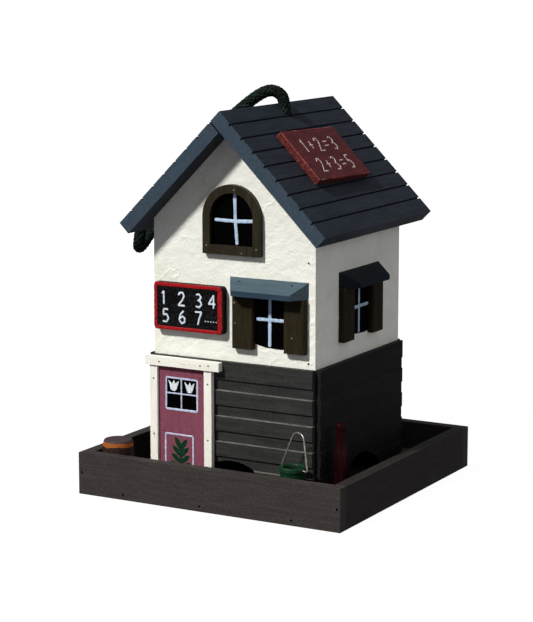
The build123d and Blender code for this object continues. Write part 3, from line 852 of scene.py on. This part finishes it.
# Near black: the brad's own dark and painted shade in the dent.
nail_dark_and_dent_shade = brush_paint("nail_hole_dark", (0.001, 0.001, 0.001), (0.004, 0.0035, 0.003), 0.9, 0.02)
wall_nails = [(x, z) for x, z in heads_on_front("wall_brads") if x > 0 and z > siding_top + 0.002]
nail_holes("wall_nail_holes", shifted(front_wall, coat + 0.0004), wall_nails, 0.0006)
tray_face = shifted(front_wall, -half_depth - lift_of("tray_front_board")[0][1])
nail_holes("tray_nail_holes", tray_face, heads_on_front("tray_brads"), 0.0008)


# ---- Attic window ----
# An arch and a sill of dark olive-brown wood, glued and nailed round a black painted pane. The bars are
# two pale blue brush strokes.
olive_tones = ((0.023, 0.018, 0.009), (0.016, 0.012, 0.006), (0.034, 0.027, 0.014))
olive_worn_tones = ((0.045, 0.035, 0.018), (0.024, 0.018, 0.010), (0.09, 0.075, 0.045))
frame_olive = painted_wood("frame_olive", *olive_tones, "Z", roughness=0.5, strength=0.45)
olive_worn = painted_wood("frame_olive_worn", *olive_worn_tones, "Z", roughness=0.5)
eased("attic_window_frame", 0.0005, "house", frame_olive, olive_worn)
eased("attic_window_sill", 0.0004, "house", frame_olive, olive_worn)
rubbed_brad = steel("brad_rubbed_steel", (0.50, 0.46, 0.36), 0.4)
for node in ("attic_window_brads", "shutter_brads"):
    repaint(node, rubbed_brad)

arch_low, arch_high = lift_of("attic_window_frame")
sill_low, sill_high = lift_of("attic_window_sill")
arch_middle = 0.5 * (sill_low[0] + sill_high[0])
pane_radius = 0.5 * (sill_high[0] - sill_low[0]) + 0.0005
arch_spring = arch_high[2] - 0.5 * (arch_high[0] - arch_low[0])
pane_out = coat + 0.00035
pane_wall = shifted(front_wall, pane_out)
over = np.linspace(0, pi, 25)
attic_pane = [(arch_middle + hand * pane_radius, sill_high[2] - 0.0005) for hand in (-1, 1)]
attic_pane += [(arch_middle + pane_radius * cos(t), arch_spring + pane_radius * sin(t)) for t in over]
painted("attic_pane", [patch(pane_wall, attic_pane, 41, 0.0001, 0.0)], pane_black)
bar_wall = shifted(pane_wall, 0.0001)
attic_bars = [
    ([(0.0015, 0.2080), (0.0019, 0.1900), (0.0033, 0.1735)], 0.0024),
    ([(-0.0140, 0.1896), (0.0020, 0.1893), (0.0160, 0.1900)], 0.0024),
]
painted("attic_bars", strokes(bar_wall, attic_bars, 42, 0.0002), pale_blue)


# ---- Shuttered windows ----
# Each has two shutters of the same olive-brown wood under a hipped awning block. The pane between the
# shutters and its cross are painted straight on the wall.
shutter_olive = painted_wood("shutter_olive", *olive_tones, "Z", roughness=0.55, strength=0.7, gloss=0.05)
for side in ("front", "right", "left"):
    for hand in ("left", "right"):
        eased(f"{side}_shutter_{hand}", 0.0004, "house", shutter_olive, olive_worn)

awning_lit = ((0.062, 0.096, 0.118), (0.050, 0.079, 0.099), (0.076, 0.114, 0.137))
# A darker copy of the awning paint: painted shade for the right awning, which lies in the roof's shadow.
painted_shade_awning_tones = ((0.009, 0.014, 0.020), (0.007, 0.011, 0.016), (0.013, 0.020, 0.027))
lip_tones = ((0.026, 0.047, 0.075), (0.018, 0.035, 0.058), (0.042, 0.068, 0.098))
awning_edge = painted_wood("awning_edge", *lip_tones, "X")
awning_lip = painted_wood("awning_lip", *lip_tones, "X", roughness=0.5)
# The right awning takes the darker tones as painted shade.
for side, tones, wall, lip_paint in (
    ("front", awning_lit, front_wall, awning_lip),
    ("right", painted_shade_awning_tones, right_wall, None),
    ("left", awning_lit, left_wall, awning_lip),
):
    grain = "X" if side == "front" else "Y"
    paint = painted_wood(f"{side}_awning_paint", *tones, grain, roughness=0.5, gloss=0.07)
    edge = awning_edge if lip_paint else paint
    awning = eased(f"{side}_awning", 0.0004, "house", paint, edge)
    faces_towards(awning, wall[3], 0.9, lip_paint or paint)
repaint("awning_brads", steel("brad_slate_steel", (0.07, 0.095, 0.12), 0.5, 0.2))

for side, wall, centre, seed in (
    ("front", front_wall, 0.0284, 51),
    ("right", right_wall, 0.0, 61),
    ("left", left_wall, 0.0, 71),
):
    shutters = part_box(f"{side}_shutter_left"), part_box(f"{side}_shutter_right")
    axis = 0 if side == "front" else 1
    edges = sorted(corner[axis] for box in shutters for corner in box[:2])
    half_gap = 0.5 * (edges[2] - edges[1]) + 0.002
    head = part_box(f"{side}_awning")[0][2] + 0.0005
    foot = shutters[0][0][2] + 0.0018
    face = shifted(wall, pane_out)
    outline = [
        (centre - half_gap, foot + 0.0026),
        (centre - 0.4 * half_gap, foot + 0.0004),
        (centre + 0.5 * half_gap, foot - 0.0004),
        (centre + half_gap, foot + 0.0002),
        (centre + half_gap, head),
        (centre - half_gap, head),
    ]
    painted(f"{side}_pane", [patch(face, outline, seed, 0.0001, 0.0002)], pane_black)
    cross = foot + 0.53 * (head - foot)
    bars = [
        ([(centre - 0.0005, foot + 0.0006), (centre - 0.0004, head)], 0.0023),
        ([(centre - half_gap + 0.0028, cross), (centre + half_gap - 0.002, cross + 0.0002)], 0.0023),
    ]
    films = strokes(shifted(face, 0.0001), bars, seed + 1, 0.0002)
    painted(f"{side}_window_bars", films, pale_blue)


# ---- Blackboard ----
# A block with round corners, painted black and glued to the front wall over the door. Its red border and
# chalk-white numbers are put on by brush.
board_tones = ((0.0035, 0.0035, 0.0037), (0.0012, 0.0012, 0.0012), (0.022, 0.022, 0.023))
board_black = painted_wood("board_black", *board_tones, "X", grit=0.7, gloss=0.04)
edge_tones = ((0.007, 0.006, 0.006), (0.003, 0.003, 0.003), (0.03, 0.026, 0.023))
board_edge = painted_wood("board_edge", *edge_tones, "X")
eased("blackboard", 0.0006, "house", board_black, board_edge)
board_low, board_high = lift_of("blackboard")
board_face = shifted(front_wall, -half_depth - board_low[1])
border_red = brush_paint("border_red_brush", (0.13, 0.006, 0.008), (0.44, 0.011, 0.014))
rim = 0.0013
border_left, border_right = board_low[0] + rim, board_high[0] - 0.0026
border_foot, border_head = board_low[2] + rim, board_high[2] - rim
border = [
    ([(border_left - 0.0008, border_head), (border_right + 0.0012, border_head)], 0.0026),
    ([(border_left - 0.0008, border_foot), (border_right + 0.0012, border_foot)], 0.0024),
    ([(border_left, border_foot), (border_left, border_head)], 0.0024),
    ([(border_right, border_foot), (border_right, border_head)], 0.0034),
]
painted("blackboard_border", strokes(board_face, border, 81), border_red)

# Numerals as brush lines in a box one wide and one high.
three = [(0.10, 0.92), (0.50, 1.0), (0.82, 0.80), (0.60, 0.56), (0.35, 0.52)]
three += [(0.65, 0.50), (0.88, 0.24), (0.55, 0.0), (0.08, 0.08)]
six = [(0.72, 1.0), (0.25, 0.70), (0.10, 0.28), (0.42, 0.0)]
six += [(0.82, 0.12), (0.82, 0.44), (0.50, 0.56), (0.16, 0.36)]
numerals = {
    "1": [[(0.30, 0.78), (0.55, 1.0), (0.55, 0.0)]],
    "2": [[(0.08, 0.78), (0.25, 0.98), (0.65, 1.0), (0.82, 0.75), (0.60, 0.45), (0.08, 0.02), (0.95, 0.02)]],
    "3": [three],
    "4": [[(0.70, 0.0), (0.70, 1.0), (0.05, 0.34), (0.98, 0.34)]],
    "5": [
        [(0.85, 1.0), (0.20, 1.0)],
        [(0.20, 1.0), (0.18, 0.56), (0.60, 0.62), (0.88, 0.32), (0.60, 0.02), (0.08, 0.06)],
    ],
    "6": [six],
    "7": [[(0.05, 1.0), (0.92, 1.0), (0.62, 0.50), (0.42, 0.0)]],
    "+": [[(0.45, 0.22), (0.45, 0.82)], [(0.08, 0.52), (0.84, 0.52)]],
    "=": [[(0.08, 0.66), (0.88, 0.68)], [(0.08, 0.36), (0.88, 0.38)]],
}


def numeral_strokes(wall, sign, left, foot, wide, high, width, seed, lean=0.0):
    """A numeral's strokes in a wide by high box standing at (left, foot), leaning right by lean times z."""
    drawn = []
    for k, line in enumerate(numerals[sign]):
        run = [(left + wide * x + lean * high * z, foot + high * z) for x, z in line]
        drawn.append(stroke(wall, run, width, seed + k, ends=0.55))
    return drawn


chalk = []
for signs, places, foot, high, seed in (
    ("1234", (-0.0545, -0.0402, -0.0268, -0.0165), 0.1302, 0.0090, 100),
    ("567", (-0.0528, -0.0398, -0.0272), 0.1182, 0.0088, 140),
):
    for k, (sign, left) in enumerate(zip(signs, places)):
        chalk += numeral_strokes(board_face, sign, left, foot, 0.0058, high, 0.00125, seed + 7 * k)
dot_radius = 0.0005
turn = np.linspace(0, 2 * pi, 9)[:-1]
for k in range(5):
    left = -0.0188 + 0.0021 * k
    dot = [(left + dot_radius * cos(t), 0.1212 + dot_radius * sin(t)) for t in turn]
    chalk.append(patch(board_face, dot, 170 + k, waver=0))
painted("blackboard_numbers", chalk, chalk_white)


# ---- Roof ----
# Two grooved boards painted slate blue, the right one lapping over the left one's top end. Their sawn ends
# take the paint lighter. The plaque is a maroon block on the right slope.
slate_tones = ((0.0175, 0.0225, 0.0325), (0.0125, 0.0165, 0.0245), (0.026, 0.032, 0.045))
verge_tones = ((0.037, 0.058, 0.080), (0.029, 0.047, 0.066), (0.049, 0.074, 0.099))
slate = painted_wood("roof_slate", *slate_tones, "Y", roughness=0.5, strength=0.4, grit=0.4)
slate_edge_tones = ((0.022, 0.030, 0.043), (0.015, 0.021, 0.031), (0.042, 0.053, 0.072))
slate_edge = painted_wood("roof_slate_edge", *slate_edge_tones, "Y")
slate_end = painted_wood("roof_slate_end", *verge_tones, "Y", roughness=0.55, strength=0.35, grit=0.4)
joint = 0.0011
for node in ("roof_panel_right", "roof_panel_left"):
    panel = eased(node, 0.00062, "roof", slate, slate_edge, 3)
    faces_towards(panel, (0, 1, 0), 0.9, slate_end)
    faces_towards(panel, (0, -1, 0), 0.9, slate_end)

# The left panel stops short of the right one by a thin open joint.
points = corners_of(panel.data)
left_up = sqrt(0.5) * (rightward + up)
height_up = points @ left_up
points[height_up > height_up.max() - 0.0001] -= joint * left_up
panel.data.vertices.foreach_set("co", points.ravel())

maroon_tones = ((0.080, 0.017, 0.020), (0.050, 0.012, 0.014), (0.130, 0.028, 0.028))
maroon = painted_wood("plaque_maroon", *maroon_tones, "Y", strength=0.5, grit=0.6)
plaque_red_tones = ((0.085, 0.012, 0.011), (0.020, 0.005, 0.005), (0.20, 0.04, 0.032))
plaque_red = painted_wood("plaque_edge_red", *plaque_red_tones, "Y", strength=1.0, grit=0.75)
plaque_rub_tones = ((0.17, 0.027, 0.023), (0.08, 0.014, 0.013), (0.33, 0.09, 0.07))
plaque_rub = painted_wood(
    "plaque_rubbed_red", *plaque_rub_tones, "Y", strength=1.0, wear=0.12, bare=(0.45, 0.36, 0.30)
)
plaque = eased("roof_plaque", 0.0007, "roof", maroon, plaque_rub, 3)
slope_out = sqrt(0.5) * (rightward + up)
slope_up = sqrt(0.5) * (up - rightward)
for outward in (slope_up, -slope_up, rearward, -rearward):
    faces_towards(plaque, outward, 0.9, plaque_red)

roof_apex = lift_of("roof_panel_right")[1][2]
plaque_thick = 0.0050
plaque_turn = radians(-2.0)
plaque_middle = np.array([0.0, -0.0035, roof_apex]) - 0.0495 * slope_up + plaque_thick * slope_out
plaque_up = slope_up * cos(plaque_turn) - rearward * sin(plaque_turn)
plaque_back = rearward * cos(plaque_turn) + slope_up * sin(plaque_turn)
plaque_face = (plaque_middle, plaque_back, plaque_up, slope_out)
sums = []
for row, (text, foot) in enumerate((("1+2=3", 0.0018), ("2+3=5", -0.0152))):
    for k, sign in enumerate(text):
        left = -0.0245 + 0.0098 * k + 0.0025 * row
        seed = 200 + 40 * row + 7 * k
        sums += numeral_strokes(plaque_face, sign, left, foot, 0.0064, 0.0112, 0.00105, seed, lean=0.06)
sign_cream = brush_paint("sign_cream_brush", (0.30, 0.22, 0.20), (0.60, 0.54, 0.50))
painted("plaque_numbers", sums, sign_cream, "roof")


# ---- Hanging dowel ----
# A bare softwood dowel let into both gables. It carries the rope's inner turn, and with it the weight of
# the whole house.
dowel_tones = ((0.48, 0.36, 0.22), (0.36, 0.26, 0.15), (0.60, 0.48, 0.33))
repaint("hanging_dowel", painted_wood("dowel_bare_wood", *dowel_tones, "Y"))


# ---- Toys ----
# A turned barrel, a small enamelled bucket with a bent wire bail, and a turned bottle. All three stand on
# the tray floor, glued down.
floor_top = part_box("tray_floor")[1][2]


def centre_of(node):
    """The middle of a node's foot, on the tray floor."""
    low, high = lift_of(node)
    return np.array([0.5 * (low[0] + high[0]), 0.5 * (low[1] + high[1]), floor_top])


def turned(node, profile, material, lean=0.0, sides=72):
    """A lathe shape on a node's foot: the (radius, height) profile swept round an upright axis.

    The axis moves lean metres in x for each metre up.
    """
    centre = centre_of(node)
    turn = np.linspace(0, 2 * pi, sides, endpoint=False)
    radius, height = np.array(profile).T
    x = centre[0] + radius[:, None] * np.cos(turn) + lean * height[:, None]
    y = centre[1] + radius[:, None] * np.sin(turn) + 0 * x
    z = centre[2] + height[:, None] + 0 * x
    points = np.stack([x, y, z], -1)
    faces = grid_faces(len(profile), sides, closed_columns=True)
    return closed_up(new_piece(node + "_turned", points, faces, "house", [material]))


def rounded(profile, radius, steps=4):
    """The profile with each inner corner replaced by a short curve that starts radius before it."""
    profile = np.array(profile)
    rows = [profile[:1]]
    t = np.linspace(0, 1, steps)[:, None]
    for before, corner, after in zip(profile, profile[1:], profile[2:]):
        reach = min(radius, 0.45 * np.linalg.norm(corner - before), 0.45 * np.linalg.norm(after - corner))
        start = corner + reach * unit(before - corner)
        end = corner + reach * unit(after - corner)
        rows.append((1 - t) ** 2 * start + 2 * t * (1 - t) * corner + t**2 * end)
    return np.concatenate([*rows, profile[-1:]])


def barrel_paint():
    """Brown stain below, a ring of orange and a mauve top. The colours meet in lines that waver by 0.6 mm."""
    brown_tones = ((0.020, 0.010, 0.008), (0.011, 0.006, 0.005), (0.036, 0.020, 0.015))
    material = painted_wood("barrel_brown", *brown_tones, "Z")
    place, x, y, z = place_of(material)
    level = math_node(material.node_tree, "MULTIPLY_ADD", noise_of(material, place, 150.0), 0.0035, z)
    for lowest, colour in ((0.0246, (0.30, 0.080, 0.012)), (0.0274, (0.055, 0.036, 0.040))):
        above = math_node(material.node_tree, "GREATER_THAN", level, floor_top + lowest)
        over_paint(material, above, colour)
    return material


# Each toy's profile goes from its foot outwards, up its side and back to its axis, as (radius, height).
barrel_profile = [(0.0002, 0.0), (0.0100, 0.0), (0.0106, 0.006), (0.0110, 0.0125), (0.0110, 0.0185)]
barrel_profile += [(0.0107, 0.0225), (0.0099, 0.0262), (0.0093, 0.0270), (0.0002, 0.0270)]
barrel = turned("barrel", rounded(barrel_profile, 0.0012), barrel_paint())
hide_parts("barrel")

green_tones = ((0.006, 0.034, 0.015), (0.003, 0.019, 0.008), (0.012, 0.055, 0.025))
# Darker green for the bore: painted shade inside the bucket.
painted_shade_inside_tones = ((0.004, 0.020, 0.010), (0.002, 0.011, 0.006), (0.008, 0.035, 0.018))
bucket_green = painted_wood("bucket_green", *green_tones, "Z", roughness=0.4)
bucket_bore = 0.0063
bucket_profile = [(0.0002, 0.0), (0.0074, 0.0), (0.0076, 0.003), (0.0086, 0.0205), (0.0092, 0.0215)]
bucket_profile += [(0.0092, 0.0240), (0.0086, 0.0245), (0.0070, 0.0244), (bucket_bore, 0.0238)]
bucket_profile += [(0.0060, 0.0220), (0.0056, 0.0030), (0.0002, 0.0024)]
bucket = turned("bucket", rounded(bucket_profile, 0.0005), bucket_green)
# The bore's faces take the darker green as painted shade.
bucket.data.materials.append(painted_wood("bucket_inside_painted_shade", *painted_shade_inside_tones, "Z"))
bucket_foot = centre_of("bucket")
for face in bucket.data.polygons:
    x, y, z = np.array(face.center) - bucket_foot
    if x * x + y * y < bucket_bore**2 and 0.001 < z < 0.0236:
        face.material_index = 1
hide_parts("bucket")
bail_steel = steel("bail_steel", (0.62, 0.60, 0.52), 0.35)
bail_turn = radians(-17.4)
bail_across = np.array([cos(bail_turn), sin(bail_turn), 0.0])
bail_back = np.array([-sin(bail_turn), cos(bail_turn), 0.0])
bail_pivot = bucket_foot + 0.0228 * up
# The wire's bends as (across, up, back) from the middle of its two ears.
bail_bends = [(-0.0068, 0.0, 0.0), (-0.0110, 0.0, 0.0), (-0.0024, 0.0236, 0.0034), (0.0060, 0.0232, 0.0034)]
bail_bends += [(0.0134, -0.0004, 0.0), (0.0090, 0.0002, 0.0)]
bail_line = [bail_pivot + x * bail_across + y * bail_back + z * up for x, z, y in bail_bends]
bail_path = evenly(rounded(bail_line, 0.0046, 12), 0.0003)[0]
ahead = unit(np.gradient(bail_path, axis=0))
over = unit(bail_back - (ahead @ bail_back)[:, None] * ahead)
wire_radius, wire_sides = 0.00053, 12
rings = tube(bail_path, np.cross(ahead, over), over, wire_sides, wire_radius, wire_radius)
faces = grid_faces(len(bail_path), wire_sides, closed_columns=True)
bail = closed_up(new_piece("bail_wire_bent", rings, faces, "bail", [bail_steel]))
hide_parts("bucket_bail")

red_tones = ((0.013, 0.0016, 0.0020), (0.008, 0.0010, 0.0013), (0.022, 0.003, 0.0038))
bottle_red = painted_wood("bottle_red", *red_tones, "Z", roughness=0.4, gloss=0.08)
bottle_profile = [(0.0002, 0.0), (0.0048, 0.0), (0.0051, 0.0006), (0.0051, 0.0265), (0.0049, 0.0295)]
bottle_profile += [(0.0041, 0.0335), (0.0036, 0.0370), (0.0034, 0.0445), (0.0037, 0.0452), (0.0037, 0.0484)]
bottle_profile += [(0.0034, 0.0490), (0.0002, 0.0490)]
bottle = turned("bottle", rounded(bottle_profile, 0.0012), bottle_red, lean=-0.03)
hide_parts("bottle")


# ---- Stage and light ----
# A white floor, a soft key light from the upper left in front, a wide fill light from the right, and a dim
# room with a bright patch straight overhead.
floor_mesh = bpy.data.meshes.new("floor")
reach = 80.0
floor_mesh.from_pydata([(x, z, 0) for x, z in rectangle(-reach, reach, -reach, reach)], [], [(0, 1, 2, 3)])
floor = placed("floor", floor_mesh)
floor_paint, add, wire = finish_of("floor_paint", 0.9)
floor_cloud = add("TexNoise", [("Vector", add("TexCoord").outputs["Object"]), ("Scale", 2.0)])
greys = [(0.3, (0.05, 0.05, 0.05)), (0.7, (0.06, 0.06, 0.06))]
wire(ramp_of(add, floor_cloud.outputs["Fac"], greys), "Base Color")
glow = floor_paint.node_tree.nodes["Principled BSDF"].inputs
glow["Emission Color"].default_value = (1, 1, 1, 1)
glow["Emission Strength"].default_value = 0.97
floor_mesh.materials.append(floor_paint)
floor.visible_diffuse = False
floor.visible_glossy = False

for name, energy, angle, colour, direction in (
    ("key", 3.95, 6.5, (1.0, 0.985, 0.955), (0.47, 1.0, -1.07)),
    ("fill", 0.52, 70.0, (1.0, 1.0, 1.0), (-1.0, 0.14, -0.30)),
):
    light = placed(name, bpy.data.lights.new(name, "SUN"))
    light.data.energy = energy
    light.data.angle = radians(angle)
    light.data.color = colour
    light.rotation_mode = "QUATERNION"
    light.rotation_quaternion = Vector(direction).to_track_quat("-Z", "Y")

# The room's light fades upwards from level, and turns white straight overhead. Rays from the camera see
# plain white everywhere.
room = bpy.data.worlds.new("room")
room.use_nodes = True
bpy.context.scene.world = room
tree = room.node_tree
tree.nodes.clear()
split = tree.nodes.new("ShaderNodeSeparateXYZ")
tree.links.new(tree.nodes.new("ShaderNodeTexCoord").outputs["Generated"], split.inputs[0])
band = tree.nodes.new("ShaderNodeValToRGB")
band.color_ramp.elements.new(0.5)
for element, (position, shade) in zip(band.color_ramp.elements, ((0.46, 0.17), (0.86, 0.07))):
    element.position = position
    element.color = (shade, 0.98 * shade, 1.09 * shade, 1)
tree.links.new(math_node(tree, "MULTIPLY_ADD", split.outputs["Z"], 0.5, 0.5), band.inputs["Fac"])
lighting = tree.nodes.new("ShaderNodeBackground")
tree.links.new(band.outputs["Color"], lighting.inputs["Color"])
seen = tree.nodes.new("ShaderNodeBackground")
seen.inputs["Color"].default_value = (1, 1, 1, 1)
either = tree.nodes.new("ShaderNodeMixShader")
tree.links.new(tree.nodes.new("ShaderNodeLightPath").outputs["Is Camera Ray"], either.inputs[0])
tree.links.new(lighting.outputs[0], either.inputs[1])
tree.links.new(seen.outputs[0], either.inputs[2])
out = tree.nodes.new("ShaderNodeOutputWorld")
tree.links.new(either.outputs[0], out.inputs["Surface"])
bpy.context.scene.view_settings.view_transform = "Standard"
